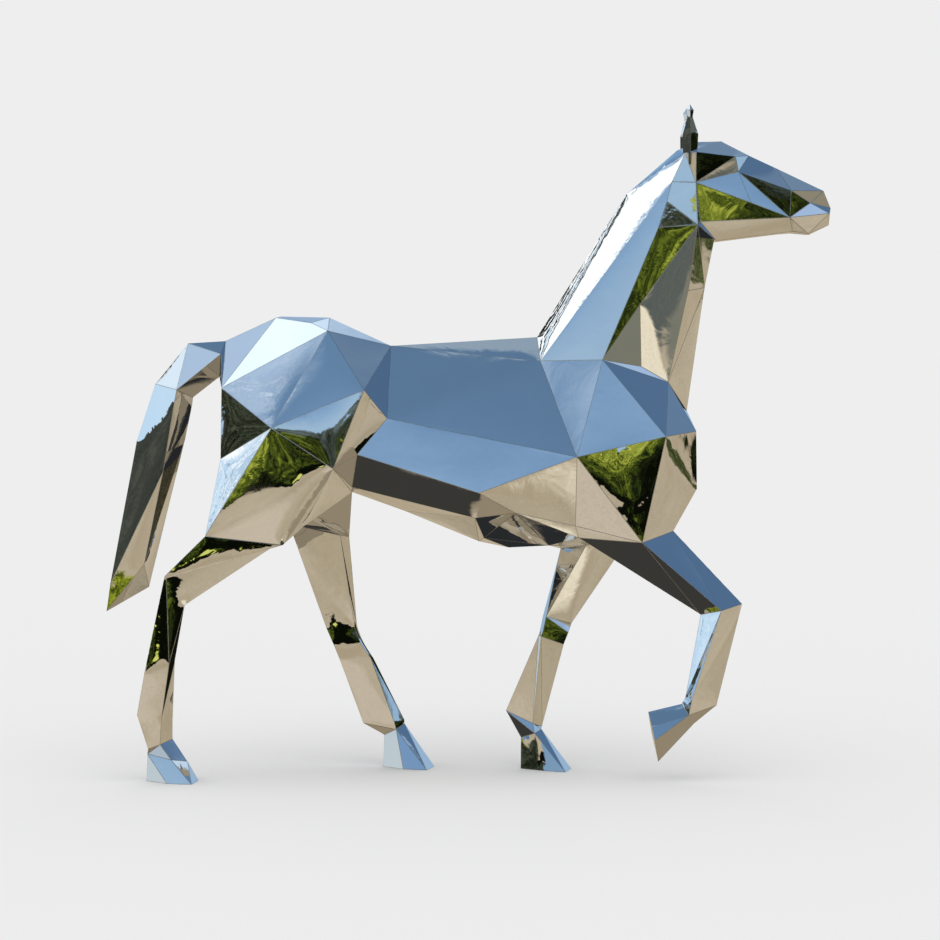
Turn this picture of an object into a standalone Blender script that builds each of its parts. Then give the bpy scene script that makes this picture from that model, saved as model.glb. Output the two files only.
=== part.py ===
"""Geometric horse sculpture, life size.

A standing horse made of flat polished stainless sheets welded edge to edge: each facet is a
triangle between hubs where several seams meet.  Head towards +X, feet on z = 0, middle plane y = 0.
The near side (y < 0) carries the raised foreleg.  Head, neck and trunk are the same on both sides;
each leg is lofted through its own sections from the opening that the trunk leaves for it.
"""
import bpy
import bmesh
from mathutils import Vector

COLLECTION = "geometric_metal_horse"
NODE = "horse"

# ---------------------------------------------------------------- driving sizes, metres
HEIGHT = 2.376            # ground to ear tips
WITHERS_HEIGHT = 1.559
CROUP_HEIGHT = 1.632
NOSE_REACH = 1.287        # nose ahead of the middle of the back
TAIL_REACH = 1.291        # tail tip behind it
SPLIT = 0.0               # the middle plane

# Outline in the middle plane, (x, z): back and face, then the underside
TOPLINE = {
    "dock": (-0.862, 1.545), "croup_back": (-0.665, CROUP_HEIGHT), "croup": (-0.492, 1.628),
    "loin": (-0.274, 1.528), "withers": (0.245, WITHERS_HEIGHT), "crest": (0.561, 2.064),
    "nape": (0.741, 2.220), "poll": (0.811, 2.250), "forehead": (0.898, 2.252),
    "brow": (0.996, 2.202), "bridge": (1.093, 2.157), "nose": (1.262, 2.077),
    "muzzle": (NOSE_REACH, 2.016),
}
UNDERLINE = {
    "lip": (1.280, 1.955), "chin": (1.210, 1.921), "jaw_mid": (1.143, 1.926),
    "throat": (0.875, 1.905), "gullet": (0.841, 1.734), "neck_foot": (0.779, 1.296),
    "breast": (0.813, 1.224), "sternum": (0.816, 1.018), "girth": (0.585, 0.880),
    "belly_fore": (0.289, 0.816), "belly_low": (0.146, 0.809), "belly_mid": (0.039, 0.831),
    "belly_rear": (-0.226, 0.940), "groin": (-0.413, 1.007), "crotch": (-0.652, 0.961),
    "perineum": (-0.800, 1.086), "cleft": (-0.852, 1.330), "tail_under": (-0.884, 1.417),
}
# Hubs beside it, (x, half-width, z)
HUBS = {
    # head
    "temple": (0.803, 0.085, 2.209), "eye_ridge": (0.943, 0.063, 2.194),
    "eye_front": (0.954, 0.057, 2.141), "jaw_top": (0.802, 0.084, 2.102),
    "cheek": (0.996, 0.084, 2.031), "cheek_front": (1.133, 0.082, 1.979),
    "nose_side": (1.138, 0.078, 2.074), "nostril": (1.210, 0.042, 2.032),
    "muzzle_side": (1.279, 0.026, 1.996), "chin_side": (1.203, 0.042, 1.923),
    "jaw_front": (1.143, 0.072, 1.930), "jaw_corner": (0.875, 0.077, 1.897),
    "jaw_back": (0.818, 0.087, 1.964),
    # neck
    "ear_root": (0.764, 0.072, 2.204), "neck_top": (0.717, 0.086, 2.104),
    "neck_nape": (0.699, 0.097, 2.035), "neck_dip": (0.669, 0.108, 1.943),
    "neck_mid": (0.604, 0.122, 1.672), "gullet_side": (0.776, 0.088, 1.722),
    "throat_side": (0.808, 0.103, 1.952), "neck_base": (0.472, 0.139, 1.478),
    "base_seam": (0.610, 0.095, 1.455), "neck_front": (0.707, 0.074, 1.400),
    # shoulder and barrel
    "withers_side": (0.256, 0.062, 1.474), "shoulder_low": (0.379, 0.247, 1.141),
    "chest": (0.691, 0.206, 1.211), "girth_side": (0.375, 0.211, 0.899),
    "barrel": (0.038, 0.269, 1.017), "barrel_low": (0.164, 0.243, 0.946),
    "barrel_rear": (0.025, 0.236, 0.928), "keel_side": (0.056, 0.120, 0.851),
    # croup, flank and thigh
    "tail_side": (-0.873, 0.058, 1.499), "buttock": (-0.864, 0.152, 1.380),
    "ham": (-0.865, 0.189, 1.132), "croup_edge": (-0.680, 0.042, 1.627),
    "croup_hub": (-0.552, 0.104, 1.608), "hip": (-0.491, 0.148, 1.580),
    "flank_top": (-0.360, 0.270, 1.374), "flank": (-0.283, 0.168, 1.273),
    "thigh": (-0.682, 0.266, 1.242), "stifle": (-0.466, 0.305, 1.102),
    "fold": (-0.387, 0.200, 1.148), "fold_low": (-0.407, 0.152, 1.032),
}

# Every facet is a triangle of a fan: the hub, then the seam that runs round it
FANS = (
    ("hip", "croup loin flank_top thigh buttock croup_hub croup"),
    ("thigh", "flank_top stifle hind_back ham buttock"),
    ("flank", "loin withers_side shoulder_low fold stifle flank_top loin"),
    ("shoulder_low", "withers_side neck_base chest fore_side girth_side barrel_low barrel fold"),
    ("dock", "croup_back croup_edge buttock tail_side"),
    ("croup_hub", "croup croup_back croup_edge buttock"),
    ("withers_side", "loin withers crest ear_root neck_top neck_nape neck_dip neck_base"),
    ("ear_root", "crest nape poll temple jaw_top neck_top"),
    ("temple", "poll forehead eye_ridge jaw_top"),
    ("eye_ridge", "forehead brow eye_front jaw_top"),
    ("eye_front", "brow bridge nose_side cheek_front cheek jaw_top"),
    ("nose_side", "bridge nose nostril cheek_front"),
    ("nostril", "nose muzzle muzzle_side cheek_front"),
    ("muzzle_side", "muzzle lip chin_side cheek_front"),
    ("cheek_front", "chin_side jaw_front jaw_corner jaw_back cheek"),
    ("jaw_back", "cheek jaw_top throat_side jaw_corner"),
    ("chin_side", "lip chin jaw_mid jaw_front"),
    ("throat", "jaw_mid jaw_front jaw_corner throat_side gullet"),
    ("throat_side", "jaw_top neck_nape neck_dip neck_mid gullet_side gullet"),
    ("neck_nape", "neck_top jaw_top"),
    ("neck_mid", "neck_dip neck_base base_seam neck_front gullet_side"),
    ("neck_front", "gullet_side gullet neck_foot breast chest neck_base base_seam"),
    ("sternum", "breast chest fore_side fore_front girth"),
    ("fore_back", "fore_side girth_side barrel_low belly_fore fore_inner"),
    ("girth", "belly_fore fore_inner fore_front"),
    ("barrel_low", "barrel barrel_rear keel_side belly_fore"),
    ("fold_low", "fold barrel barrel_rear belly_rear groin stifle fold"),
    ("keel_side", "belly_fore belly_low belly_mid barrel_rear"),
    ("barrel_rear", "belly_mid belly_rear"),
    ("stifle", "hind_back hind_side hind_front groin"),
    ("buttock", "tail_side tail_under cleft ham"),
    ("perineum", "cleft ham hind_back hind_inner crotch"),
    ("crotch", "hind_inner hind_front groin"),
)
# Openings for the legs: (back, outer side, front, inner side), each (x, half-width, z)
HIND_RING = ("hind_back", "hind_side", "hind_front", "hind_inner")
FORE_RING = ("fore_back", "fore_side", "fore_front", "fore_inner")
NEAR, FAR = -1, 1
LEG_OPENINGS = {
    NEAR: {"hind_back": (-0.915, 0.244, 0.865), "hind_side": (-0.642, 0.269, 0.836),
           "hind_front": (-0.577, 0.191, 0.894), "hind_inner": (-0.700, 0.130, 0.880),
           "fore_back": (0.387, 0.204, 0.857), "fore_side": (0.607, 0.242, 0.842),
           "fore_front": (0.726, 0.092, 0.874), "fore_inner": (0.560, 0.085, 0.850)},
    FAR: {"hind_back": (-0.648, 0.150, 0.884), "hind_side": (-0.530, 0.265, 0.850),
          "hind_front": (-0.430, 0.150, 0.838), "hind_inner": (-0.460, 0.100, 0.846),
          "fore_back": (0.335, 0.150, 0.795), "fore_side": (0.470, 0.225, 0.800),
          "fore_front": (0.592, 0.112, 0.850), "fore_inner": (0.425, 0.080, 0.812)},
}

# Leg sections below the openings, top to bottom:
# (back x, z), (front x, z), distance from the middle plane, half-width, place of the side ridge
# from 0 at the back to 1 at the front, and how far the back and the front edge stand out towards
# the outer side (below zero, towards the inner side), as a share of the half-width
NEAR_HIND = (
    ((-1.057, 0.726), (-0.988, 0.623), 0.195, 0.042, 0.08, 1.0, 0.8),      # hock
    ((-1.128, 0.385), (-1.025, 0.425), 0.212, 0.044, 0.85, 0.9, 0.0),      # cannon
    ((-1.156, 0.240), (-1.034, 0.226), 0.206, 0.045, 0.72, 0.7, 0.0),      # fetlock
    ((-1.119, 0.118), (-1.036, 0.150), 0.190, 0.042, 0.52, 0.8, 0.0),      # pastern
    ((-1.124, 0.098), (-0.985, 0.070), 0.184, 0.044, 0.62, 0.4, 0.0),      # coronet
)
FAR_HIND = (
    ((-0.513, 0.509), (-0.403, 0.511), 0.164, 0.046, 0.95, -0.8, 0.0),
    ((-0.487, 0.451), (-0.383, 0.457), 0.153, 0.044, 0.95, -0.8, 0.0),
    ((-0.462, 0.390), (-0.345, 0.402), 0.147, 0.040, 0.95, -0.8, 0.0),
    ((-0.380, 0.162), (-0.231, 0.170), 0.163, 0.044, 0.76, -0.6, 0.0),
    ((-0.305, 0.116), (-0.231, 0.158), 0.163, 0.040, 0.60, 0.0, 0.0),
)
FAR_FORE = (
    ((0.271, 0.556), (0.374, 0.528), 0.136, 0.046, 0.10, -0.5, -0.6),
    ((0.260, 0.504), (0.362, 0.495), 0.130, 0.046, 0.10, -0.6, -0.8),
    ((0.254, 0.486), (0.345, 0.453), 0.123, 0.042, 0.10, -0.8, -0.8),
    ((0.137, 0.211), (0.268, 0.150), 0.140, 0.042, 0.74, -0.7, 0.0),
    ((0.191, 0.112), (0.266, 0.142), 0.122, 0.038, 0.66, 0.0, 0.0),
)
NEAR_FORE = (
    ((0.817, 0.584), (0.963, 0.622), 0.160, 0.052, 0.47, 0.0, 0.0),
    ((0.763, 0.300), (0.872, 0.268), 0.190, 0.040, 0.18, 0.0, 0.0),
    ((0.749, 0.273), (0.794, 0.203), 0.187, 0.042, 0.50, 0.0, 0.0),
)

# Hooves: heel, back corner, front corner and toe along the sole, its distance from the middle
# plane, and the half-widths at the two corners
NEAR_HIND_SOLE = (-1.130, -1.050, -0.962, -0.947, 0.182, 0.068, 0.088)
FAR_HIND_SOLE = (-0.309, -0.234, -0.148, -0.122, 0.163, 0.068, 0.096)
FAR_FORE_SOLE = (0.190, 0.268, 0.350, 0.374, 0.110, 0.052, 0.092)
RAISED_HEEL, RAISED_TOE = (0.632, 0.245), (0.668, 0.068)   # the lifted hoof's sole faces back
RAISED_SOLE = (0.26, 0.52, 0.188, 0.050, 0.076)            # corners along it, place, half-widths

# Tail: (back x, z), (front x, z), (ridge x, z), half-width
TAIL = (
    ((-0.995, 1.537), (-0.978, 1.344), (-1.028, 1.372), 0.085),
    ((-1.113, 1.392), (-0.981, 1.318), (-1.036, 1.330), 0.086),
    ((-1.180, 1.189), (-1.006, 1.200), (-1.078, 1.082), 0.080),
    ((-1.277, 0.679), (-1.138, 0.668), (-1.151, 0.752), 0.036),
)
TAIL_TIP = (-TAIL_REACH, 0.580)

# Ears, base to top: (back x, front x, z, distance from the middle plane, half-width), then the tip.
# Each ear is a folded leaf that narrows to a neck and ends in a small bud.
EAR_RINGS = (
    (0.758, 0.806, 2.165, 0.060, 0.021),      # root, inside the head
    (0.756, 0.812, 2.272, 0.059, 0.026),      # swell
    (0.772, 0.791, 2.333, 0.073, 0.010),      # neck
    (0.767, 0.795, 2.356, 0.073, 0.013),      # bud
)
EAR_TIP = (0.781, 0.078, HEIGHT)

STEEL = (0.80, 0.82, 0.84, 1.0)
STEEL_ROUGHNESS = 0.06


# ---------------------------------------------------------------- helpers
def lerp(a, b, t):
    return tuple(p + (q - p) * t for p, q in zip(a, b))


class Skin:
    """Collects hubs and welds facets between them."""

    def __init__(self):
        self.bm = bmesh.new()
        self.hubs = {}

    def place(self, name, side, x, w, z):
        key = (name, 0 if w == SPLIT else side)
        if key not in self.hubs:
            self.hubs[key] = self.bm.verts.new((x, side * w, z))
        return self.hubs[key]

    def get(self, name, side):
        return self.hubs.get((name, side)) or self.hubs[(name, 0)]

    def fan(self, hub, seam):
        for a, b in zip(seam, seam[1:]):
            self.bm.faces.new((hub, a, b))

    def loft(self, ring_a, ring_b):
        """Welds a band between two rings that may have unlike counts of corners."""
        na, nb = len(ring_a), len(ring_b)
        i = j = 0
        while i < na or j < nb:
            a, b = ring_a[i % na], ring_b[j % nb]
            ahead_a, ahead_b = (i + 1) / na, (j + 1) / nb
            if j >= nb or (i < na and ahead_a <= ahead_b + 1e-9):
                self.bm.faces.new((a, ring_a[(i + 1) % na], b))
                i += 1
            else:
                self.bm.faces.new((a, ring_b[(j + 1) % nb], b))
                j += 1

    def ring(self, points):
        return [self.bm.verts.new(p) for p in points]

    def close(self, ring, tip=None):
        if tip is None:
            self.bm.faces.new(ring)
        else:
            point = self.bm.verts.new(tip)
            self.fan(point, list(ring) + [ring[0]])


def leg_section(side, back, front, place, half, ridge, back_out, front_out):
    rx, rz = lerp(back, front, ridge)
    y = side * place
    return (Vector((back[0], y + side * half * back_out, back[1])),
            Vector((rx, y + side * half, rz)),
            Vector((front[0], y + side * half * front_out, front[1])),
            Vector((rx, y - side * half, rz)))


def sole_ring(side, heel, rear, fore, toe, place, half_rear, half_fore):
    y = side * place
    return (Vector((heel, y, 0)),
            Vector((rear, y + side * half_rear, 0)), Vector((fore, y + side * half_fore, 0)),
            Vector((toe, y, 0)),
            Vector((fore, y - side * half_fore, 0)), Vector((rear, y - side * half_rear, 0)))


def raised_sole(side):
    rear, fore, place, half_rear, half_fore = RAISED_SOLE
    y = side * place
    points = []
    for t, out in ((0.0, 0.0), (rear, half_rear), (fore, half_fore),
                   (1.0, 0.0), (fore, -half_fore), (rear, -half_rear)):
        x, z = lerp(RAISED_HEEL, RAISED_TOE, t)
        points.append(Vector((x, y + side * out, z)))
    return points


def limb(skin, side, opening, sections, sole):
    ring = [skin.get(name, side) for name in opening]
    for section in sections:
        lower = skin.ring(leg_section(side, *section))
        skin.loft(ring, lower)
        ring = lower
    lower = skin.ring(sole)
    skin.loft(ring, lower)
    skin.close(lower)


def half_trunk(skin, side):
    for outline in (TOPLINE, UNDERLINE):
        for name, (x, z) in outline.items():
            skin.place(name, side, x, SPLIT, z)
    for table in (HUBS, LEG_OPENINGS[side]):
        for name, (x, w, z) in table.items():
            skin.place(name, side, x, w, z)
    for hub, seam in FANS:
        skin.fan(skin.get(hub, side), [skin.get(name, side) for name in seam.split()])


def tail(skin):
    ring = [skin.get("dock", NEAR), skin.get("tail_side", NEAR),
            skin.get("tail_under", NEAR), skin.get("tail_side", FAR)]
    for back, front, ridge, half in TAIL:
        lower = skin.ring((Vector((back[0], 0, back[1])), Vector((ridge[0], -half, ridge[1])),
                           Vector((front[0], 0, front[1])), Vector((ridge[0], half, ridge[1]))))
        skin.loft(ring, lower)
        ring = lower
    skin.close(ring, Vector((TAIL_TIP[0], 0, TAIL_TIP[1])))


def horse_mesh():
    skin = Skin()
    for side in (NEAR, FAR):
        half_trunk(skin, side)
    limb(skin, NEAR, HIND_RING, NEAR_HIND, sole_ring(NEAR, *NEAR_HIND_SOLE))
    limb(skin, FAR, HIND_RING, FAR_HIND, sole_ring(FAR, *FAR_HIND_SOLE))
    limb(skin, FAR, FORE_RING, FAR_FORE, sole_ring(FAR, *FAR_FORE_SOLE))
    limb(skin, NEAR, FORE_RING, NEAR_FORE, raised_sole(NEAR))
    tail(skin)
    bmesh.ops.recalc_face_normals(skin.bm, faces=skin.bm.faces)
    mesh = bpy.data.meshes.new(NODE)
    skin.bm.to_mesh(mesh)
    skin.bm.free()
    return mesh


def ear_mesh(side):
    skin = Skin()
    rings = []
    for back, front, z, place, half in EAR_RINGS:
        y = side * place
        middle = (back + front) / 2
        rings.append(skin.ring((Vector((back, y, z)), Vector((middle, y + side * half, z)),
                                Vector((front, y, z)), Vector((middle, y - side * half, z)))))
    skin.close(rings[0])
    for lower, upper in zip(rings, rings[1:]):
        skin.loft(lower, upper)
    skin.close(rings[-1], Vector((EAR_TIP[0], side * EAR_TIP[1], EAR_TIP[2])))
    bmesh.ops.recalc_face_normals(skin.bm, faces=skin.bm.faces)
    mesh = bpy.data.meshes.new("ear")
    skin.bm.to_mesh(mesh)
    skin.bm.free()
    return mesh


# ---------------------------------------------------------------- scene
def steel_material():
    material = bpy.data.materials.new("mirror_stainless")
    material.use_nodes = True
    shader = material.node_tree.nodes["Principled BSDF"]
    shader.inputs["Base Color"].default_value = STEEL
    shader.inputs["Metallic"].default_value = 1.0
    shader.inputs["Roughness"].default_value = STEEL_ROUGHNESS
    return material


def collection(name):
    made = bpy.data.collections.new(name)
    bpy.context.scene.collection.children.link(made)
    return made


def main():
    for old in list(bpy.data.objects):
        bpy.data.objects.remove(old, do_unlink=True)
    parts = collection(COLLECTION)
    guides = collection(COLLECTION + "_joined")
    horse = bpy.data.objects.new(NODE, horse_mesh())
    horse.data.materials.append(steel_material())
    parts.objects.link(horse)
    for side, name in ((NEAR, "near_ear"), (FAR, "far_ear")):
        ear = bpy.data.objects.new(name, ear_mesh(side))
        ear.hide_render = True
        ear.display_type = "WIRE"
        guides.objects.link(ear)
        union = horse.modifiers.new(name, "BOOLEAN")
        union.operation = "UNION"
        union.solver = "EXACT"
        union.object = ear


main()
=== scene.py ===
"""Geometric horse welded from mirror-polished stainless sheets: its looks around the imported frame.

Every sheet of the skin is made again from the frame's facets: facets that are one bent sheet on the
real thing run smoothly into each other, each sheet is a little crowned or dished, its edges stop
just short of the seam, and a fine ground weld lies in the groove between neighbours.
"""

import math

import bmesh
import bpy
import numpy as np
from mathutils import Euler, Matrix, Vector, noise
from mathutils.kdtree import KDTree


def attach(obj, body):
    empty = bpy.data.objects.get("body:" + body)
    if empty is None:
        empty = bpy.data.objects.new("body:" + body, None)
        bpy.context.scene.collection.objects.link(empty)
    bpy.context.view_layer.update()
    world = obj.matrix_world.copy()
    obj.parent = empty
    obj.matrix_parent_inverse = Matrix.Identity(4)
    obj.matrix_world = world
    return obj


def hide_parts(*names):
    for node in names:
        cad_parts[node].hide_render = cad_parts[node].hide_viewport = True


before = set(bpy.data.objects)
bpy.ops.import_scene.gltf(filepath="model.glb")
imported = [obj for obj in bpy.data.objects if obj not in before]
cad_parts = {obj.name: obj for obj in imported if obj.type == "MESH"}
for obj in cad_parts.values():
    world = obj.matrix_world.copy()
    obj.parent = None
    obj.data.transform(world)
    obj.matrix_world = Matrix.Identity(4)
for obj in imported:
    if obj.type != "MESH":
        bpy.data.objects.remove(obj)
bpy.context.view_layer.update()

NODE = "horse"
CELL = 0.0176            # longest mesh edge on a sheet
SEAM_HALF = 0.0011       # from a sheet's edge to the middle of the seam
SEAM_DEPTH = 0.0006      # how deep the weld lies
SPREAD_STEPS = 26        # how far a bend inside a sheet is rolled out
FLAT_DEG = 1.0           # facets that meet flatter than this are one flat sheet
LEG_BEND_DEG = 15.0      # on legs and tail, sheets bent less than this are one sheet

# ---------------------------------------------------------------- hubs of the skin, (x, half-width, z)
HUBS = {
    "dock": (-0.862, 0, 1.545), "croup_back": (-0.665, 0, 1.632), "croup": (-0.492, 0, 1.628),
    "loin": (-0.274, 0, 1.528), "withers": (0.245, 0, 1.559), "crest": (0.561, 0, 2.064),
    "nape": (0.741, 0, 2.220), "poll": (0.811, 0, 2.250), "forehead": (0.898, 0, 2.252),
    "brow": (0.996, 0, 2.202), "bridge": (1.093, 0, 2.157), "nose": (1.262, 0, 2.077),
    "muzzle": (1.287, 0, 2.016), "lip": (1.280, 0, 1.955), "chin": (1.210, 0, 1.921),
    "jaw_mid": (1.143, 0, 1.926), "throat": (0.875, 0, 1.905), "gullet": (0.841, 0, 1.734),
    "neck_foot": (0.779, 0, 1.296), "breast": (0.813, 0, 1.224), "sternum": (0.816, 0, 1.018),
    "girth": (0.585, 0, 0.880), "belly_fore": (0.289, 0, 0.816), "belly_low": (0.146, 0, 0.809),
    "belly_mid": (0.039, 0, 0.831), "belly_rear": (-0.226, 0, 0.940), "groin": (-0.413, 0, 1.007),
    "crotch": (-0.652, 0, 0.961), "perineum": (-0.800, 0, 1.086), "cleft": (-0.852, 0, 1.330),
    "tail_under": (-0.884, 0, 1.417),
    "temple": (0.803, 0.085, 2.209), "eye_ridge": (0.943, 0.063, 2.194),
    "eye_front": (0.954, 0.057, 2.141), "jaw_top": (0.802, 0.084, 2.102),
    "cheek": (0.996, 0.084, 2.031), "cheek_front": (1.133, 0.082, 1.979),
    "nose_side": (1.138, 0.078, 2.074), "nostril": (1.210, 0.042, 2.032),
    "muzzle_side": (1.279, 0.026, 1.996), "chin_side": (1.203, 0.042, 1.923),
    "jaw_front": (1.143, 0.072, 1.930), "jaw_corner": (0.875, 0.077, 1.897),
    "jaw_back": (0.818, 0.087, 1.964),
    "ear_root": (0.764, 0.072, 2.204), "neck_top": (0.717, 0.086, 2.104),
    "neck_nape": (0.699, 0.097, 2.035), "neck_dip": (0.669, 0.108, 1.943),
    "neck_mid": (0.604, 0.122, 1.672), "gullet_side": (0.776, 0.088, 1.722),
    "throat_side": (0.808, 0.103, 1.952), "neck_base": (0.472, 0.139, 1.478),
    "base_seam": (0.610, 0.095, 1.455), "neck_front": (0.707, 0.074, 1.400),
    "withers_side": (0.256, 0.062, 1.474), "shoulder_low": (0.379, 0.247, 1.141),
    "chest": (0.691, 0.206, 1.211), "girth_side": (0.375, 0.211, 0.899),
    "barrel": (0.038, 0.269, 1.017), "barrel_low": (0.164, 0.243, 0.946),
    "barrel_rear": (0.025, 0.236, 0.928), "keel_side": (0.056, 0.120, 0.851),
    "tail_side": (-0.873, 0.058, 1.499), "buttock": (-0.864, 0.152, 1.380),
    "ham": (-0.865, 0.189, 1.132), "croup_edge": (-0.680, 0.042, 1.627),
    "croup_hub": (-0.552, 0.104, 1.608), "hip": (-0.491, 0.148, 1.580),
    "flank_top": (-0.360, 0.270, 1.374), "flank": (-0.283, 0.168, 1.273),
    "thigh": (-0.682, 0.266, 1.242), "stifle": (-0.466, 0.305, 1.102),
    "fold": (-0.387, 0.200, 1.148), "fold_low": (-0.407, 0.152, 1.032),
}
OPENINGS = {   # where the legs leave the body, for the -Y side and the +Y side
    -1: {"hind_back": (-0.915, 0.244, 0.865), "hind_side": (-0.642, 0.269, 0.836),
         "hind_front": (-0.577, 0.191, 0.894), "hind_inner": (-0.700, 0.130, 0.880),
         "fore_back": (0.387, 0.204, 0.857), "fore_side": (0.607, 0.242, 0.842),
         "fore_front": (0.726, 0.092, 0.874), "fore_inner": (0.560, 0.085, 0.850)},
    1: {"hind_back": (-0.648, 0.150, 0.884), "hind_side": (-0.530, 0.265, 0.850),
        "hind_front": (-0.430, 0.150, 0.838), "hind_inner": (-0.460, 0.100, 0.846),
        "fore_back": (0.335, 0.150, 0.795), "fore_side": (0.470, 0.225, 0.800),
        "fore_front": (0.592, 0.112, 0.850), "fore_inner": (0.425, 0.080, 0.812)},
}
# Bends inside one sheet, with no seam on them
SOFT = """
withers_side-flank shoulder_low-fold stifle-hind_back stifle-hind_side croup_hub-buttock
flank-stifle withers_side-ear_root withers_side-neck_nape withers_side-neck_dip
withers_side-crest crest-ear_root neck_mid-neck_dip neck_mid-neck_front neck_mid-gullet_side
cheek-jaw_back cheek_front-jaw_corner sternum-chest sternum-fore_side
shoulder_low-barrel_low barrel-fold_low barrel-barrel_rear temple-forehead eye_ridge-forehead
eye_front-bridge neck_nape-jaw_top
""".split()
SOFT = {frozenset(pair.split("-")) for pair in SOFT}

# Crown (+) or dish (-) of a sheet in metres, by a point near its middle, on both sides of the horse
CROWNS = [
    (("thigh", "flank_top", "stifle"), 0.006),
    (("thigh", "stifle", "hind_back"), 0.007),
    (("shoulder_low", "chest", "fore_side"), 0.006),
    (("withers_side", "flank", "shoulder_low"), 0.0025),
    (("flank", "shoulder_low", "fold"), 0.002),
    (("buttock", "thigh", "ham"), 0.003),
    (("sternum", "chest", "breast"), 0.004),
    (("withers_side", "crest", "ear_root"), 0.0048),
]


# ---------------------------------------------------------------- reading the frame's facets
def welded(mesh):
    """Corner points and triangles of the frame's mesh, with shared corners."""
    mesh.calc_loop_triangles()
    co = np.zeros(len(mesh.vertices) * 3)
    mesh.vertices.foreach_get("co", co)
    co = co.reshape(-1, 3)
    keys, index = {}, []
    points = []
    for p in co:
        key = tuple(np.round(p, 5))
        if key not in keys:
            keys[key] = len(points)
            points.append(p)
        index.append(keys[key])
    tris = [tuple(index[i] for i in t.vertices) for t in mesh.loop_triangles]
    return np.array(points), [t for t in tris if len(set(t)) == 3]


def hub_names(points):
    names = [None] * len(points)
    for side in (-1, 1):
        table = dict(HUBS)
        table.update(OPENINGS[side])
        for name, (x, w, z) in table.items():
            d = np.linalg.norm(points - np.array((x, side * w, z)), axis=1)
            i = int(d.argmin())
            if d[i] < 0.004:
                names[i] = name
    return names


def face_normals(points, tris):
    t = np.array(tris)
    n = np.cross(points[t[:, 1]] - points[t[:, 0]], points[t[:, 2]] - points[t[:, 0]])
    return n / np.maximum(np.linalg.norm(n, axis=1)[:, None], 1e-12)


def sheets_of(points, tris, names):
    """Seam edges, and which sheet each facet belongs to."""
    normals = face_normals(points, tris)
    sides = {}
    for f, t in enumerate(tris):
        for i in range(3):
            sides.setdefault(frozenset((t[i], t[(i + 1) % 3])), []).append(f)
    parent = list(range(len(tris)))

    def root(f):
        while parent[f] != f:
            parent[f] = parent[parent[f]]
            f = parent[f]
        return f

    seams = set()
    for edge, faces in sides.items():
        if len(faces) != 2:
            seams.add(edge)
            continue
        f, g = faces
        bend = math.degrees(math.acos(float(np.clip(normals[f] @ normals[g], -1, 1))))
        a, b = (names[i] for i in edge)
        if bend < FLAT_DEG:
            soft = True
        elif a and b:
            soft = frozenset((a, b)) in SOFT
        else:
            soft = bend < LEG_BEND_DEG
        if soft:
            parent[root(f)] = root(g)
        else:
            seams.add(edge)
    return seams, [root(f) for f in range(len(tris))]


# ---------------------------------------------------------------- a fine mesh on the facets
def refined(points, tris, seams, sheet):
    """The same facets cut into small triangles: points, triangles, their sheet, and the seam edges."""
    bm = bmesh.new()
    layer = bm.faces.layers.int.new("sheet")
    verts = [bm.verts.new(p) for p in points]
    for t, s in zip(tris, sheet):
        face = bm.faces.new([verts[i] for i in t])
        face[layer] = s + 1
    bm.verts.index_update()
    for e in bm.edges:
        e.seam = frozenset((e.verts[0].index, e.verts[1].index)) in seams
    for _ in range(9):
        long = [e for e in bm.edges if e.calc_length() > CELL]
        if not long:
            break
        bmesh.ops.subdivide_edges(bm, edges=long, cuts=1, use_grid_fill=False)
        more = [f for f in bm.faces if len(f.verts) > 3]
        if more:
            bmesh.ops.triangulate(bm, faces=more, quad_method="SHORT_EDGE", ngon_method="BEAUTY")
    inner = [e for e in bm.edges if not e.seam]
    bmesh.ops.beautify_fill(bm, faces=bm.faces[:], edges=[e for e in inner if flat_edge(e)],
                            use_restrict_tag=False, method="ANGLE")
    bm.verts.index_update()
    bm.faces.index_update()
    out_points = np.array([v.co[:] for v in bm.verts])
    out_tris = np.array([[v.index for v in f.verts] for f in bm.faces])
    out_sheet = np.array([f[layer] - 1 for f in bm.faces])
    out_seams = np.array([[v.index for v in e.verts] for e in bm.edges if e.seam])
    bm.free()
    return out_points, out_tris, out_sheet, out_seams


def flat_edge(e):
    return len(e.link_faces) == 2 and e.calc_face_angle(1.0) < 0.001


def cotan_edges(points, tris):
    """Edges (i, j) and their cotangent weights, one row for each face side."""
    rows = []
    for k in range(3):
        a, b, c = tris[:, k], tris[:, (k + 1) % 3], tris[:, (k + 2) % 3]
        u, v = points[a] - points[c], points[b] - points[c]
        cot = (u * v).sum(1) / np.maximum(np.linalg.norm(np.cross(u, v), axis=1), 1e-9)
        rows.append(np.c_[a, b, np.clip(cot, 0.02, 12) / 2])
    e = np.concatenate(rows)
    return e[:, 0].astype(int), e[:, 1].astype(int), e[:, 2]


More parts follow.
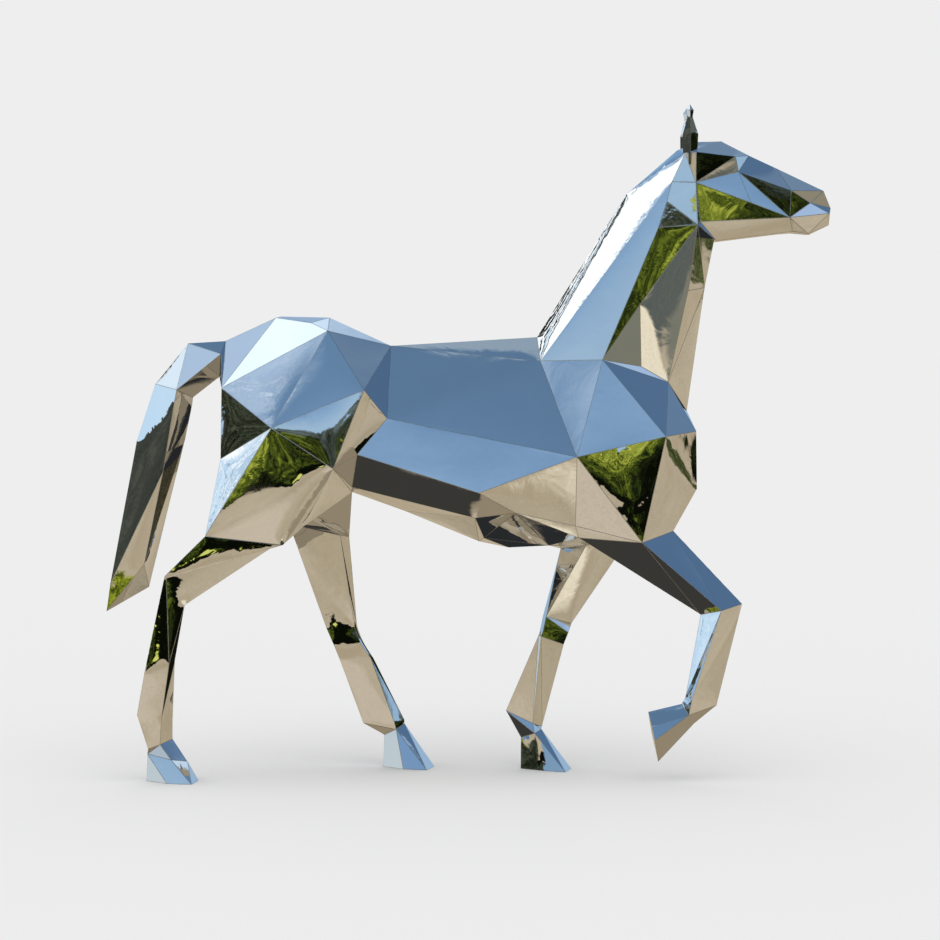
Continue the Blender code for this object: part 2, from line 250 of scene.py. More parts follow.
def solve(i, j, w, free, rhs, x, rounds=700, tol=1e-9):
    """Conjugate gradients on the graph Laplacian, with the points that aren't free held."""
    n = len(x)

    def lap(v):
        d = v[i] - v[j]
        if v.ndim == 1:
            flow = w * d
            return (np.bincount(i, flow, n) - np.bincount(j, flow, n)) * free
        flow = w[:, None] * d
        return np.stack([np.bincount(i, flow[:, k], n) - np.bincount(j, flow[:, k], n)
                         for k in range(v.shape[1])], 1) * free[:, None]

    diag = np.bincount(i, w, n) + np.bincount(j, w, n)
    diag = np.maximum(diag, 1e-9)
    m = free if x.ndim == 1 else free[:, None]
    d_ = diag if x.ndim == 1 else diag[:, None]
    r = (rhs - lap(x)) * m
    z = r / d_
    p = z.copy()
    rz = (r * z).sum()
    start = rz
    for _ in range(rounds):
        if rz <= tol * tol * max(start, 1e-30):
            break
        ap = lap(p)
        alpha = rz / max((p * ap).sum(), 1e-30)
        x = x + alpha * p
        r = r - alpha * ap
        z = r / d_
        new = (r * z).sum()
        p = z + (new / rz) * p
        rz = new
    return x


def vertex_normals(points, tris):
    n = np.cross(points[tris[:, 1]] - points[tris[:, 0]], points[tris[:, 2]] - points[tris[:, 0]])
    out = np.zeros_like(points)
    for k in range(3):
        for c in range(3):
            out[:, c] += np.bincount(tris[:, k], n[:, c], len(points))
    return out / np.maximum(np.linalg.norm(out, axis=1)[:, None], 1e-12)


def sheet_at(names3, side, points, tris, sheet):
    """The sheet under the middle of the facet between three hubs."""
    table = dict(HUBS)
    table.update(OPENINGS[side])
    p = np.mean([(x, side * w, z) for x, w, z in (table[n] for n in names3)], axis=0)
    centre = points[np.array(tris)].mean(1)
    return sheet[int(np.linalg.norm(centre - p, axis=1).argmin())]


def shaped_skin():
    """All sheets as one fine mesh, before the seams are cut: points, triangles, sheets, seams, inner distance."""
    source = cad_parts[NODE].data
    points, tris = welded(source)
    names = hub_names(points)
    seams, sheet = sheets_of(points, tris, names)
    crowns = {}
    for names3, height in CROWNS:
        for side in (-1, 1):
            crowns[sheet_at(names3, side, points, tris, sheet)] = height
    p, t, s, e = refined(points, tris, seams, sheet)
    held = np.zeros(len(p), bool)
    held[e.ravel()] = True
    free = (~held).astype(float)
    i, j, w = cotan_edges(p, t)
    pairs = np.array(sorted({(min(u, v), max(u, v)) for u, v in zip(i, j)}))
    grid = KDTree(int(held.sum()))
    for k, v in enumerate(np.nonzero(held)[0]):
        grid.insert(p[v], k)
    grid.balance()
    room = np.array([grid.find(q)[2] for q in p])
    loose = free * np.clip(room / 0.03, 0, 1)
    around = np.bincount(pairs.ravel(), minlength=len(p)).astype(float)
    for _ in range(SPREAD_STEPS):            # a bend inside a sheet is rolled out over a hand's width
        drift = np.zeros_like(p)
        for c in range(3):
            drift[:, c] = (np.bincount(pairs[:, 0], p[pairs[:, 1], c], len(p))
                           + np.bincount(pairs[:, 1], p[pairs[:, 0], c], len(p))) / around - p[:, c]
        normal = vertex_normals(p, t)
        lift = (drift * normal).sum(1)[:, None] * normal
        p = p + 0.5 * lift * loose[:, None]
    i, j, w = cotan_edges(p, t)
    area = np.linalg.norm(np.cross(p[t[:, 1]] - p[t[:, 0]], p[t[:, 2]] - p[t[:, 0]]), axis=1) / 2
    mass = sum(np.bincount(t[:, k], area / 3, len(p)) for k in range(3))
    swell = solve(i, j, w, free, mass, np.zeros(len(p)), rounds=400, tol=1e-5)
    of_vertex = np.full(len(p), -1)
    for k in range(3):
        of_vertex[t[:, k]] = s
    of_vertex[held] = -1
    height = np.zeros(len(p))
    for k in np.unique(s):
        mine = of_vertex == k
        if not mine.any():
            continue
        top = swell[mine].max()
        size = area[s == k].sum()
        seed = math.sin(k * 12.9898) * 43758.5453
        seed -= math.floor(seed)
        crown = crowns.get(k, (0.0010 + 0.0012 * seed) * min(1.0, size / 0.06)
                           * (1 if seed > 0.3 else -1))
        height[mine] = crown * swell[mine] / max(top, 1e-12)
    wave = np.array([noise.noise(Vector(q) * 5.0) * 0.0004 + noise.noise(Vector(q) * 14.0 + Vector((7, 1, 3))) * 0.00010
                     for q in p])
    inside = 1 - np.exp(-np.sqrt(np.maximum(swell, 0)) / 0.012)
    inside[held] = 0
    n = vertex_normals(p, t)
    p = p + n * (height + wave * inside)[:, None]
    return p, t, s, e, inside


# ---------------------------------------------------------------- seams
def with_seams(p, t, s, e, inside):
    """Cuts the sheets apart along the seams and lays a groove with a weld between them.
    Returns points, faces, material of each face, rim edges and the distance field."""
    hard = {frozenset(x) for x in map(tuple, e)}
    parent = np.arange(len(t) * 3)

    def root(c):
        while parent[c] != c:
            parent[c] = parent[parent[c]]
            c = parent[c]
        return c

    sides = {}
    for f in range(len(t)):
        for k in range(3):
            a, b = int(t[f, k]), int(t[f, (k + 1) % 3])
            sides.setdefault((a, b) if a < b else (b, a), []).append((f, k))
    on_seam = np.zeros(len(p), bool)
    on_seam[e.ravel()] = True
    for (a, b), both in sides.items():
        if len(both) != 2 or frozenset((a, b)) in hard or not (on_seam[a] or on_seam[b]):
            continue
        (f, kf), (g, kg) = both
        corner_f = {int(t[f, kf]): 3 * f + kf, int(t[f, (kf + 1) % 3]): 3 * f + (kf + 1) % 3}
        corner_g = {int(t[g, kg]): 3 * g + kg, int(t[g, (kg + 1) % 3]): 3 * g + (kg + 1) % 3}
        for v in (a, b):
            if on_seam[v]:
                ra, rb = root(corner_f[v]), root(corner_g[v])
                if ra != rb:
                    parent[ra] = rb
    fn = np.cross(p[t[:, 1]] - p[t[:, 0]], p[t[:, 2]] - p[t[:, 0]])
    double = np.linalg.norm(fn, axis=1)
    fn = fn / np.maximum(double[:, None], 1e-12)
    longest = np.max([np.linalg.norm(p[t[:, k]] - p[t[:, (k + 1) % 3]], axis=1) for k in range(3)], axis=0)
    altitude = double / np.maximum(longest, 1e-9)
    wedges = {}
    for f in range(len(t)):
        for k in range(3):
            v = int(t[f, k])
            if on_seam[v]:
                wedges.setdefault(root(3 * f + k), [v, []])[1].append((f, k))
    pull, count = {}, {}
    for key, (v, corners) in wedges.items():
        count[v] = count.get(v, 0) + 1
        inward, room = [], 1e9
        for f, k in corners:
            room = min(room, altitude[f])
            for a, b in ((k, (k + 1) % 3), ((k + 2) % 3, k)):
                va, vb = int(t[f, a]), int(t[f, b])
                if frozenset((va, vb)) in hard:
                    along = p[vb] - p[va]
                    d = np.cross(fn[f], along)
                    inward.append(d / max(np.linalg.norm(d), 1e-12))
        if len(inward) >= 2:
            a, b = inward[0], inward[1]
            o = (a + b) / max(1 + float(a @ b), 0.25)
        elif inward:
            o = inward[0]
        else:
            o = np.zeros(3)
        pull[key] = o * min(SEAM_HALF, 0.34 * room)
    n = vertex_normals(p, t)
    points = [q for q in p]
    inner = list(inside)
    for v in np.nonzero(on_seam)[0]:
        if count.get(int(v), 0) > 1:
            points[v] = p[v] - n[v] * SEAM_DEPTH
        inner[v] = -1.0
    corner_point = {}
    for key, (v, corners) in wedges.items():
        if count[v] > 1:
            corner_point[key] = len(points)
            points.append(p[v] + pull[key])
            inner.append(0.0)
        else:
            corner_point[key] = v
    faces, material, rims = [], [], []
    for f in range(len(t)):
        loop = []
        for k in range(3):
            v = int(t[f, k])
            loop.append(corner_point[root(3 * f + k)] if on_seam[v] else v)
        faces.append(loop)
        material.append(0)
        for k in range(3):
            va, vb = int(t[f, k]), int(t[f, (k + 1) % 3])
            if frozenset((va, vb)) in hard:
                ra, rb = loop[k], loop[(k + 1) % 3]
                wall = [x for x in (rb, ra, va, vb)]
                short = [x for n_, x in enumerate(wall) if x not in wall[:n_]]
                if len(short) >= 3:
                    faces.append(short)
                    material.append(1)
                    rims.append((ra, rb))
    return np.array(points), faces, material, rims, np.array(inner)


# ---------------------------------------------------------------- node helpers
def lin(h):
    """A colour written as in a picture, #rrggbb, as the linear values that a shader takes."""
    out = []
    for k in (1, 3, 5):
        c = int(h[k:k + 2], 16) / 255
        out.append(c / 12.92 if c <= 0.04045 else ((c + 0.055) / 1.055) ** 2.4)
    return (*out, 1.0)


class Tree:
    """Shorthand for building a node tree."""

    def __init__(self, tree):
        self.tree = tree
        self.count = 0

    def new(self, kind, **props):
        node = self.tree.nodes.new(kind)
        self.count += 1
        node.location = (200 * (self.count % 12), -260 * (self.count // 12))
        for k, v in props.items():
            setattr(node, k, v)
        return node

    def put(self, socket, value):
        if hasattr(value, "links"):
            self.tree.links.new(value, socket)
        else:
            socket.default_value = value

    def math(self, op, a, b=None, c=None, clamp=False):
        node = self.new("ShaderNodeMath", operation=op, use_clamp=clamp)
        for socket, value in zip(node.inputs, (a, b, c)):
            if value is not None:
                self.put(socket, value)
        return node.outputs[0]

    def vec(self, op, a, b=None, scale=None):
        node = self.new("ShaderNodeVectorMath", operation=op)
        self.put(node.inputs[0], a)
        if b is not None:
            self.put(node.inputs[1], b)
        if scale is not None:
            self.put(node.inputs["Scale"], scale)
        return node.outputs["Value"] if op in ("DOT_PRODUCT", "LENGTH", "DISTANCE") else node.outputs["Vector"]

    def noise(self, vector, scale, detail=2.0, rough=0.5, distortion=0.0, dims="3D"):
        node = self.new("ShaderNodeTexNoise", noise_dimensions=dims)
        self.put(node.inputs["Vector"], vector)
        node.inputs["Scale"].default_value = scale
        node.inputs["Detail"].default_value = detail
        node.inputs["Roughness"].default_value = rough
        node.inputs["Distortion"].default_value = distortion
        return node.outputs[0]

    def ramp(self, value, stops, mode="LINEAR"):
        node = self.new("ShaderNodeValToRGB")
        node.color_ramp.interpolation = mode
        elements = node.color_ramp.elements
        while len(elements) > 1:
            elements.remove(elements[-1])
        for n_, (place, colour) in enumerate(stops):
            el = elements[0] if n_ == 0 else elements.new(place)
            el.position = place
            el.color = lin(colour) if isinstance(colour, str) else (*colour[:3], 1.0)
        self.put(node.inputs[0], value)
        return node.outputs[0]

    def step(self, value, lo, hi):
        """0 below lo, 1 above hi, smooth between (or the other way round if lo > hi)."""
        node = self.new("ShaderNodeMapRange", interpolation_type="SMOOTHSTEP")
        self.put(node.inputs["Value"], value)
        a, b, x, y = (lo, hi, 0.0, 1.0) if not isinstance(lo, float) or not isinstance(hi, float) or lo < hi else (hi, lo, 1.0, 0.0)
        for k, v in zip(("From Min", "From Max", "To Min", "To Max"), (a, b, x, y)):
            self.put(node.inputs[k], v)
        return node.outputs[0]

    def mix(self, factor, a, b, blend="MIX"):
        node = self.new("ShaderNodeMix", data_type="RGBA", blend_type=blend)
        self.put(node.inputs[0], factor)
        for socket, value in ((node.inputs[6], a), (node.inputs[7], b)):
            self.put(socket, lin(value) if isinstance(value, str) else value)
        return node.outputs[2]


# ---------------------------------------------------------------- surroundings that the mirror shows
def surroundings():
    """Open sky with clouds over a hedge and a stretch of tan paving, seen only in the reflections.
    The camera and the floor see plain pale studio light."""
    world = bpy.data.worlds.new("surroundings")
    bpy.context.scene.world = world
    world.use_nodes = True
    world.cycles.sampling_method = "NONE"
    tree = world.node_tree
    tree.nodes.clear()
    n = Tree(tree)
    direction = n.new("ShaderNodeTexCoord").outputs["Generated"]
    sep = n.new("ShaderNodeSeparateXYZ")
    n.put(sep.inputs[0], direction)
    x, y, z = sep.outputs

    def near(centre, inner, outer, wobble=None, sway=0.0):
        """1 within `inner` degrees of a direction and 0 beyond `outer`, its edge swayed by a noise."""
        angle = n.math("ARCCOSINE", n.math("MINIMUM", n.vec("DOT_PRODUCT", direction, tuple(Vector(centre).normalized())), 1.0))
        if wobble is not None:
            angle = n.math("ADD", angle, n.math("MULTIPLY", n.math("SUBTRACT", wobble, 0.5), math.radians(sway)))
        return n.step(angle, math.radians(outer), math.radians(inner))

    def half(value, gain):
        """A noise around zero."""
        return n.math("MULTIPLY", n.math("SUBTRACT", value, 0.5), gain)

    veil = n.noise(direction, 2.6, 6.0, 0.55, 0.6)
    puff = n.noise(direction, 7.0, 6.0, 0.6, 0.4)
    wisp = n.noise(n.vec("MULTIPLY", direction, (2.0, 2.0, 6.0)), 2.4, 7.0, 0.62, 1.2)

    # sky: deep overhead and over +X, hazy towards the trees, lavender haze and cloud over -X
    sky = n.ramp(z, [(0.0, "#8fb0cc"), (0.22, "#93b1cc"), (0.33, "#9ab6cf"), (0.46, "#86a6c6"),
                     (0.57, "#7495b8"), (0.72, "#6484a6"), (0.85, "#5b7898"), (1.0, "#567391")])
    sky = n.mix(near((0.62, 0.0, 0.78), 22, 38), sky, "#4f6b8c")
    sky = n.mix(near((0.2, 0.55, 0.8), 18, 30), sky, "#6c839d")
    sky = n.mix(near((0.15, 0.90, 0.40), 14, 26), sky, "#93abc8")
    sky = n.mix(near((0.07, 0.82, 0.57), 4, 9, puff, 5), sky, "#c9def2")
    sky = n.mix(near((0.80, 0.56, 0.22), 9, 17), sky, "#5f7998")
    sky = n.mix(near((0.64, -0.62, 0.45), 5, 12, puff, 4), sky, "#a0b9da")
    sky = n.mix(near((-0.04, -0.22, 0.97), 5.5, 8.0), sky, "#8c9fb0")
    sky = n.mix(near((-0.65, -0.15, 0.74), 20, 29, veil, 8), sky, "#a9c0da")
    sky = n.mix(near((-0.95, 0.02, 0.30), 17, 27, puff, 10), sky, "#bfdaf0")
    sky = n.mix(n.math("MULTIPLY", near((-0.46, -0.50, 0.73), 1.6, 3.6), n.step(wisp, 0.46, 0.64)), sky, "#dfeaf6")
    crinkle = n.noise(direction, 42.0, 6.0, 0.7, 1.5)
    crinkled = near((-0.88, -0.29, 0.37), 6, 12)
    sky = n.mix(n.math("MULTIPLY", crinkled, n.step(crinkle, 0.50, 0.60)), sky, "#eef6fb")
    sky = n.mix(n.math("MULTIPLY", crinkled, n.step(crinkle, 0.44, 0.36)), sky, "#7f98a8")
    sky = n.mix(near((-0.51, -0.15, 0.85), 8.0, 12.5, puff, 5), sky, (0.86, 1.00, 1.06, 1.0))
    sky = n.mix(near((-0.76, -0.20, 0.62), 13.5, 16.0, puff, 2), sky, (1.0, 1.05, 1.06, 1.0))
    sky = n.mix(near((-0.80, 0.33, 0.50), 13.0, 16.0, puff, 4), sky, (1.0, 1.05, 1.06, 1.0))
    twig = n.noise(direction, 15.0, 4.0, 0.6, 1.4)
    streaks = n.math("MULTIPLY", near((-0.815, 0.19, 0.54), 11.5, 14.5), n.step(twig, 0.46, 0.54))
    streaks = n.math("MULTIPLY", streaks, n.math("SUBTRACT", 1.0, near((-0.81, 0.16, 0.57), 1.1, 1.7)))
    sky = n.mix(streaks, sky, "#0b0d0b")
    sky = n.mix(near((-0.81, 0.16, 0.57), 1.1, 1.7), sky, "#d9e9f7")

    # edges of the ground: the skyline of the trees, and the kerb where the paving ends
    ragged = n.noise(direction, 9.0, 8.0, 0.62, 0.3)
    across = n.math("ARCTAN2", x, n.math("MULTIPLY", y, -1.0))     # azimuth, 0 towards -Y, in radians
    degrees = n.math("MULTIPLY", across, 180 / math.pi)
    tall = n.step(y, -0.25, -0.45)
    grove = n.math("MULTIPLY", n.step(degrees, -24.0, -19.0), n.step(degrees, 24.0, 19.0))
    skyline = n.math("ADD", n.math("ADD", 0.045, n.math("MULTIPLY", tall, 0.11)), n.math("MULTIPLY", ragged, 0.14))
    skyline = n.math("ADD", skyline, n.math("MULTIPLY", grove, 0.055))
    skyline = n.math("ADD", skyline, n.math("MULTIPLY", near((0.27, -0.92, 0.28), 3.5, 6.5), 0.07))
    skyline = n.math("ADD", skyline, n.math("MULTIPLY", near((-0.965, -0.24, 0.08), 5, 8), 0.06))
    skyline = n.math("ADD", skyline, n.math("MULTIPLY", near((-0.985, -0.09, 0.12), 3.0, 5.0), 0.07))
    skyline = n.math("ADD", skyline, n.math("MULTIPLY", near((-0.78, -0.56, 0.27), 9, 12), 0.16))
    above = n.math("SUBTRACT", z, skyline)
    slope = n.new("ShaderNodeMapRange", interpolation_type="LINEAR")
    n.put(slope.inputs["Value"], degrees)
    for k, v in zip(("From Min", "From Max", "To Min", "To Max"), (-31.0, -16.5, 0.105, -0.042)):
        slope.inputs[k].default_value = v
    lawn = n.math("MULTIPLY", n.step(degrees, -58.0, -40.0), n.step(degrees, -12.2, -13.8))
    level = n.math("ADD", -0.022, half(n.noise(direction, 3.5, 2.0, 0.5), 0.04))
    level = n.math("SUBTRACT", level, n.math("MULTIPLY", n.step(x, 0.60, 0.86), 0.075))
    level = n.math("SUBTRACT", level, n.math("MULTIPLY", near((0.22, -0.975, 0.0), 6, 9), 0.03))
    kerb = n.math("ADD", n.math("MULTIPLY", slope.outputs[0], lawn),
                  n.math("MULTIPLY", level, n.math("SUBTRACT", 1.0, lawn)))
    kerb = n.math("SUBTRACT", kerb, n.math("MULTIPLY", near((-0.55, -0.83, 0.11), 3, 6), 0.025))
    rise = n.math("SUBTRACT", z, kerb)

    # the line of trees and a clipped hedge before it: hazy dark crowns, a sunlit top, black gaps, a dark foot
    leaf = n.noise(n.vec("MULTIPLY", direction, (1.0, 1.0, 1.3)), 36.0, 9.0, 0.72, 0.8)
    mass = n.noise(direction, 6.5, 5.0, 0.6, 0.5)
    light = n.math("ADD", n.math("MULTIPLY", leaf, 1.05), n.math("MULTIPLY", mass, 0.60))
    light = n.math("SUBTRACT", light, 0.47)
    far = n.math("SUBTRACT", 1.0, lawn)
    foot = n.math("MULTIPLY", n.math("MULTIPLY", n.math("SUBTRACT", n.step(rise, 0.02, 0.08), 1.0), 0.20), far)
    verge = n.math("ADD", n.math("MULTIPLY", n.math("SUBTRACT", n.step(rise, 0.010, 0.034), 1.0), 0.16), 0.06)
    light = n.math("ADD", light, n.math("ADD", foot, n.math("MULTIPLY", verge, lawn)))
    light = n.math("ADD", light, n.math("MULTIPLY", near((-0.268, -0.963, 0.003), 0.9, 1.7, puff, 3), 0.60))
    light = n.math("SUBTRACT", light, n.math("MULTIPLY", near((0.40, -0.91, 0.06), 5, 8), 0.15))
    light = n.math("SUBTRACT", light, n.math("MULTIPLY", near((-0.235, -0.97, 0.03), 3.0, 5.0), 0.24))
    light = n.math("ADD", light, n.math("MULTIPLY", near((0.25, -0.93, 0.25), 4, 8), 0.12))
    light = n.math("ADD", light, n.math("MULTIPLY", near((-0.53, -0.84, 0.13), 4, 7), 0.15))
    light = n.math("ADD", light, n.math("MULTIPLY", near((0.20, -0.96, 0.15), 9, 14), 0.12))
    green = n.ramp(light, [(0.24, "#080a04"), (0.35, "#181e0d"), (0.45, "#333d14"), (0.55, "#5d6920"),
                           (0.66, "#979f3a"), (0.80, "#cdce6c")])
    crown = n.ramp(n.math("ADD", n.math("MULTIPLY", leaf, 0.35), n.math("MULTIPLY", mass, 0.65)),
                   [(0.38, "#1d221b"), (0.48, "#3d453d"), (0.56, "#5a6663"), (0.66, "#7e919c")])
    above_hedge = n.math("SUBTRACT", n.math("ADD", z, half(mass, 0.10)), n.math("MULTIPLY", lawn, 0.07))
    hazy = n.math("MULTIPLY", n.step(above_hedge, 0.13, 0.17), n.step(degrees, 2.0, -4.0))
    green = n.mix(hazy, green, crown)
    dark = n.ramp(leaf, [(0.38, "#12150d"), (0.50, "#2c3126"), (0.62, "#4e5342")])
    green = n.mix(near((0.085, -0.965, 0.245), 4.0, 5.5), green, dark)
    green = n.mix(near((-0.84, -0.48, 0.20), 12, 18), green, dark)
    slate = n.ramp(n.math("ADD", n.math("MULTIPLY", leaf, 0.5), n.math("MULTIPLY", mass, 0.5)),
                   [(0.36, "#262925"), (0.52, "#3d403a"), (0.66, "#5a5c52")])
    green = n.mix(near((-0.965, -0.24, 0.09), 8, 11, puff, 4), green, slate)
    green = n.mix(near((-0.985, -0.09, 0.12), 4, 6), green, slate)

    # paving: tan slabs with fine grit, paler and greyer patches, dark shade steeply below the horse
    grit = n.noise(direction, 160.0, 5.0, 0.7)
    broad = n.noise(direction, 5.0, 4.0, 0.55)
    tan = n.mix(n.step(broad, 0.30, 0.70), "#a99b81", "#bbae97")
    tan = n.mix(near((-0.28, -0.90, -0.33), 6, 14, puff, 5), tan, "#c5b8a4")
    tan = n.mix(near((0.33, -0.91, -0.23), 4.5, 8, puff, 3), tan, "#ebe0c6")
    tan = n.mix(near((0.60, -0.78, -0.20), 4, 8), tan, "#74766a")
    tan = n.mix(near((0.51, -0.855, -0.11), 3.0, 4.6, puff, 2), tan, "#525a58")
    tan = n.mix(near((0.46, -0.88, -0.13), 2.6, 4.6, puff, 2), tan, "#525a58")
    tan = n.mix(near((0.75, 0.58, -0.30), 6, 11, puff, 5), tan, "#2c2a1c")
    tan = n.mix(n.math("MULTIPLY", n.step(grit, 0.42, 0.62), 0.22), tan, "#877860")
    tan = n.mix(n.step(n.math("ADD", z, half(broad, 0.2)), -0.50, -0.62), tan, "#8f826c")
    tan = n.mix(near((-0.50, -0.35, -0.79), 23, 29, broad, 8), tan, "#373633")
    tan = n.mix(near((0.15, 0.51, -0.85), 15, 21, broad, 6), tan, "#26282a")
    tan = n.mix(near((0.02, 0.82, -0.58), 9.5, 11.2, broad, 3), tan, "#26282a")
    tan = n.mix(near((0.605, 0.755, -0.24), 5, 8), tan, "#11120c")

    # put together, from the top down
    colour = n.mix(n.step(above, -0.008, 0.012), green, sky)
    colour = n.mix(near((0.91, -0.27, 0.32), 4, 8, puff, 4), colour, "#8c8471")
    colour = n.mix(near((0.975, 0.06, 0.20), 5, 7), colour, "#545c56")
    shade = n.math("ADD", rise, n.math("MULTIPLY", lawn, 0.017))
    colour = n.mix(n.step(shade, 0.034, 0.016), colour, "#0b0c08")
    colour = n.mix(n.step(rise, 0.002, -0.006), colour, tan)
    bush = n.ramp(n.math("ADD", n.math("MULTIPLY", leaf, 0.8), n.math("MULTIPLY", puff, 0.3)),
                  [(0.40, "#141a08"), (0.50, "#4b5416"), (0.58, "#8c9628"), (0.68, "#c3c84c")])
    colour = n.mix(near((-0.955, -0.29, 0.02), 2.0, 3.6, puff, 3), colour, bush)
    colour = n.mix(near((-0.64, -0.76, -0.06), 4.0, 6.5, puff, 5), colour, bush)
    colour = n.mix(near((-0.215, -0.976, -0.05), 2.4, 2.8), colour, tan)
    colour = n.mix(near((0.88, 0.47, -0.01), 5, 7), colour, tan)
    colour = n.mix(near((0.29, 0.96, -0.04), 4, 6), colour, tan)
    olive = n.ramp(leaf, [(0.38, "#23280f"), (0.50, "#41472a"), (0.62, "#666b40")])
    band = n.math("MULTIPLY", n.step(z, -0.136, -0.122), n.step(z, -0.045, -0.060))
    colour = n.mix(n.math("MULTIPLY", near((0.905, 0.405, -0.095), 5.0, 7.0, puff, 2), band), colour, olive)
    colour = n.mix(near((-0.985, -0.03, -0.19), 9, 12.5, puff, 4), colour, "#bac6cc")
    colour = n.mix(near((-0.645, -0.44, -0.62), 6, 8), colour, "#a9b6c2")
    colour = n.mix(near((-0.60, -0.79, 0.10), 3, 5), colour, "#7393b8")
    colour = n.mix(near((-0.77, -0.64, 0.01), 3.5, 5.5), colour, "#7998b4")
    colour = n.mix(near((-0.92, -0.39, -0.05), 3.5, 5.0, puff, 3), colour, dark)

    path = n.new("ShaderNodeLightPath")
    seen = n.new("ShaderNodeBackground")
    seen.inputs["Color"].default_value = lin("#eeeeee")
    studio = n.new("ShaderNodeBackground")
    studio.inputs["Color"].default_value = (1.0, 1.0, 1.0, 1.0)
    studio.inputs["Strength"].default_value = 0.80
    outdoors = n.new("ShaderNodeBackground")
    n.put(outdoors.inputs["Color"], colour)
    outdoors.inputs["Strength"].default_value = 1.16
    one = n.new("ShaderNodeMixShader")
    n.put(one.inputs[0], path.outputs["Is Diffuse Ray"])
    tree.links.new(outdoors.outputs[0], one.inputs[1])
    tree.links.new(studio.outputs[0], one.inputs[2])
    two = n.new("ShaderNodeMixShader")
    n.put(two.inputs[0], path.outputs["Is Camera Ray"])
    tree.links.new(one.outputs[0], two.inputs[1])
    tree.links.new(seen.outputs[0], two.inputs[2])
    out = n.new("ShaderNodeOutputWorld")
    tree.links.new(two.outputs[0], out.inputs["Surface"])


# ---------------------------------------------------------------- materials
def mirror_steel():
    """Mirror-polished sheet: faint smudges and polishing swirls, a breath of heat tint along the welds."""
    material = bpy.data.materials.new("mirror_stainless")
    material.use_nodes = True
    n = Tree(material.node_tree)
    shader = material.node_tree.nodes["Principled BSDF"]
    shader.inputs["Metallic"].default_value = 1.0
    place = n.new("ShaderNodeTexCoord").outputs["Object"]
    seam = n.new("ShaderNodeAttribute", attribute_name="from_seam").outputs["Fac"]
    near = n.step(seam, 0.30, 0.02)
    smudge = n.noise(place, 3.1, 6.0, 0.6, 0.4)
    fine = n.noise(place, 42.0, 4.0, 0.6)
    colour = n.mix(n.step(smudge, 0.35, 0.70), (0.845, 0.855, 0.862, 1.0), (0.885, 0.89, 0.893, 1.0))
    colour = n.mix(n.math("MULTIPLY", near, 0.30), colour, (0.80, 0.775, 0.735, 1.0))
    rough = n.math("ADD", 0.018, n.math("MULTIPLY", n.step(smudge, 0.45, 0.75), 0.028))
    rough = n.math("ADD", rough, n.math("MULTIPLY", n.step(fine, 0.60, 0.75), 0.02))
    rough = n.math("ADD", rough, n.math("MULTIPLY", near, 0.07))
    swirl = n.noise(n.vec("MULTIPLY", place, (1.0, 1.0, 1.0)), 9.0, 3.0, 0.5, 0.6)
    bump = n.new("ShaderNodeBump")
    bump.inputs["Strength"].default_value = 0.35
    bump.inputs["Distance"].default_value = 0.0016
    n.put(bump.inputs["Height"], swirl)
    n.put(shader.inputs["Base Color"], colour)
    n.put(shader.inputs["Roughness"], rough)
    n.put(shader.inputs["Normal"], bump.outputs["Normal"])
    return material


def ground_weld():
    """The weld in a seam, ground back: satin, a little darker and warmer, with fine ripples."""
    material = bpy.data.materials.new("ground_weld")
    material.use_nodes = True
    n = Tree(material.node_tree)
    shader = material.node_tree.nodes["Principled BSDF"]
    shader.inputs["Metallic"].default_value = 1.0
    place = n.new("ShaderNodeTexCoord").outputs["Object"]
    patch = n.noise(place, 14.0, 4.0, 0.6)
    ripple = n.noise(place, 240.0, 2.0, 0.5)
    colour = n.mix(n.step(patch, 0.35, 0.7), (0.50, 0.49, 0.47, 1.0), (0.68, 0.68, 0.67, 1.0))
    n.put(shader.inputs["Base Color"], colour)
    n.put(shader.inputs["Roughness"], n.math("ADD", 0.22, n.math("MULTIPLY", patch, 0.25)))
    bump = n.new("ShaderNodeBump")
    bump.inputs["Strength"].default_value = 0.5
    bump.inputs["Distance"].default_value = 0.0006
    n.put(bump.inputs["Height"], ripple)
    n.put(shader.inputs["Normal"], bump.outputs["Normal"])
    return material


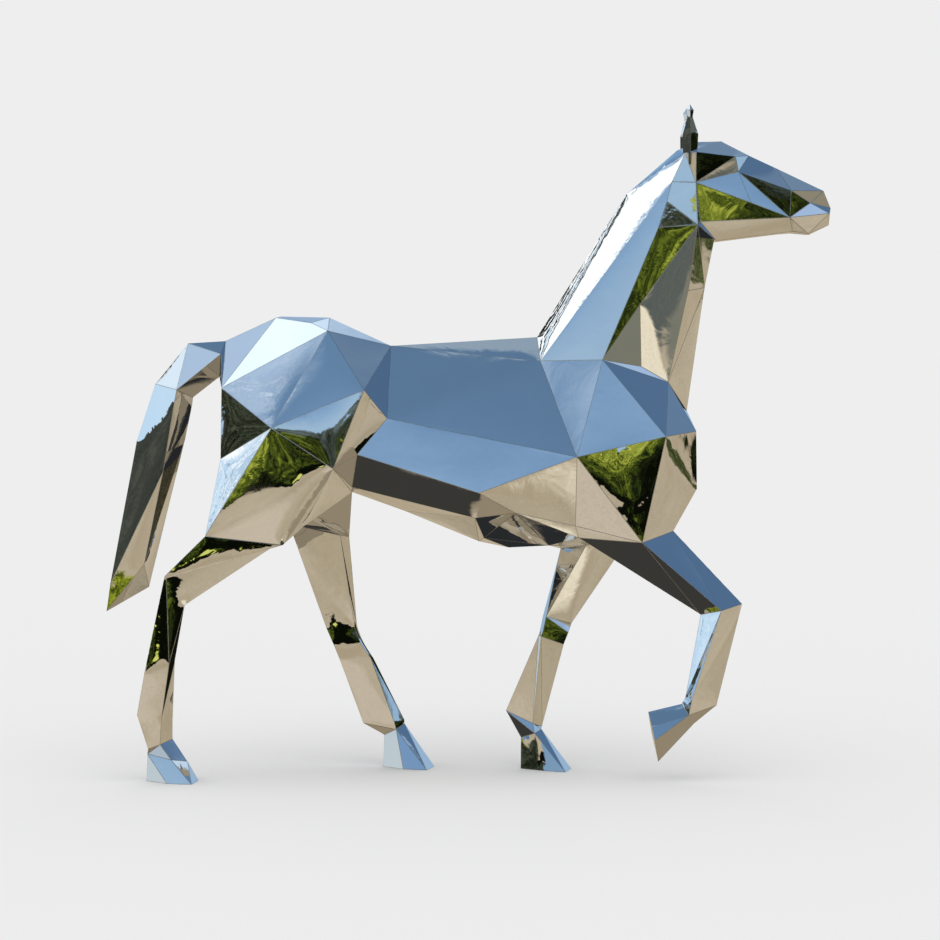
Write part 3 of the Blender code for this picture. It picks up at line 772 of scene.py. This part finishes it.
# ---------------------------------------------------------------- the piece
def shell():
    points, faces, material, rims, inner = with_seams(*shaped_skin())
    used = sorted({v for f in faces for v in f})
    remap = {v: k for k, v in enumerate(used)}
    mesh = bpy.data.meshes.new("horse_shell")
    mesh.from_pydata([tuple(points[v]) for v in used], [], [[remap[v] for v in f] for f in faces])
    mesh.update()
    mesh.polygons.foreach_set("material_index", material)
    mesh.polygons.foreach_set("use_smooth", [True] * len(faces))
    attribute = mesh.attributes.new("from_seam", "FLOAT", "POINT")
    attribute.data.foreach_set("value", np.clip(inner[used], 0, 1).astype(np.float32))
    sharp = {frozenset((remap[a], remap[b])) for a, b in rims}
    flags = [frozenset(e.vertices) in sharp for e in mesh.edges]
    edge_sharp = mesh.attributes.get("sharp_edge") or mesh.attributes.new("sharp_edge", "BOOLEAN", "EDGE")
    edge_sharp.data.foreach_set("value", flags)
    mesh.materials.append(mirror_steel())
    mesh.materials.append(ground_weld())
    obj = bpy.data.objects.new("horse_shell", mesh)
    bpy.context.scene.collection.objects.link(obj)
    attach(obj, "root")
    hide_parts(NODE)
    return obj


# ---------------------------------------------------------------- floor, light and camera
def studio():
    mesh = bpy.data.meshes.new("floor")
    r = 400.0
    mesh.from_pydata([(-r, -r, 0), (r, -r, 0), (r, r, 0), (-r, r, 0)], [], [(0, 1, 2, 3)])
    floor = bpy.data.objects.new("floor", mesh)
    bpy.context.scene.collection.objects.link(floor)
    material = bpy.data.materials.new("pale_floor")
    material.use_nodes = True
    shader = material.node_tree.nodes["Principled BSDF"]
    shader.inputs["Base Color"].default_value = lin("#eeeeee")
    shader.inputs["Roughness"].default_value = 1.0
    shader.inputs["Specular IOR Level"].default_value = 0.0
    mesh.materials.append(material)
    floor.visible_glossy = False
    data = bpy.data.lights.new("soft_light", "SUN")
    data.angle = math.radians(70)
    tilt = math.radians(18)
    data.energy = 0.20 * math.pi / math.cos(tilt)
    light = bpy.data.objects.new("soft_light", data)
    light.rotation_euler = Euler((tilt, 0.0, 0.0))
    light.visible_glossy = False
    bpy.context.scene.collection.objects.link(light)


def camera():
    data = bpy.data.cameras.new("camera")
    data.sensor_width = 36.0
    data.lens = 107.6
    data.clip_end = 1000.0
    cam = bpy.data.objects.new("camera", data)
    cam.location = (0.0071, -10.0, 1.5)
    cam.rotation_euler = Euler((math.radians(87.628), 0.0, 0.0))
    bpy.context.scene.collection.objects.link(cam)
    bpy.context.scene.camera = cam


bpy.context.scene.view_settings.view_transform = "Standard"
camera()
surroundings()
studio()
shell()
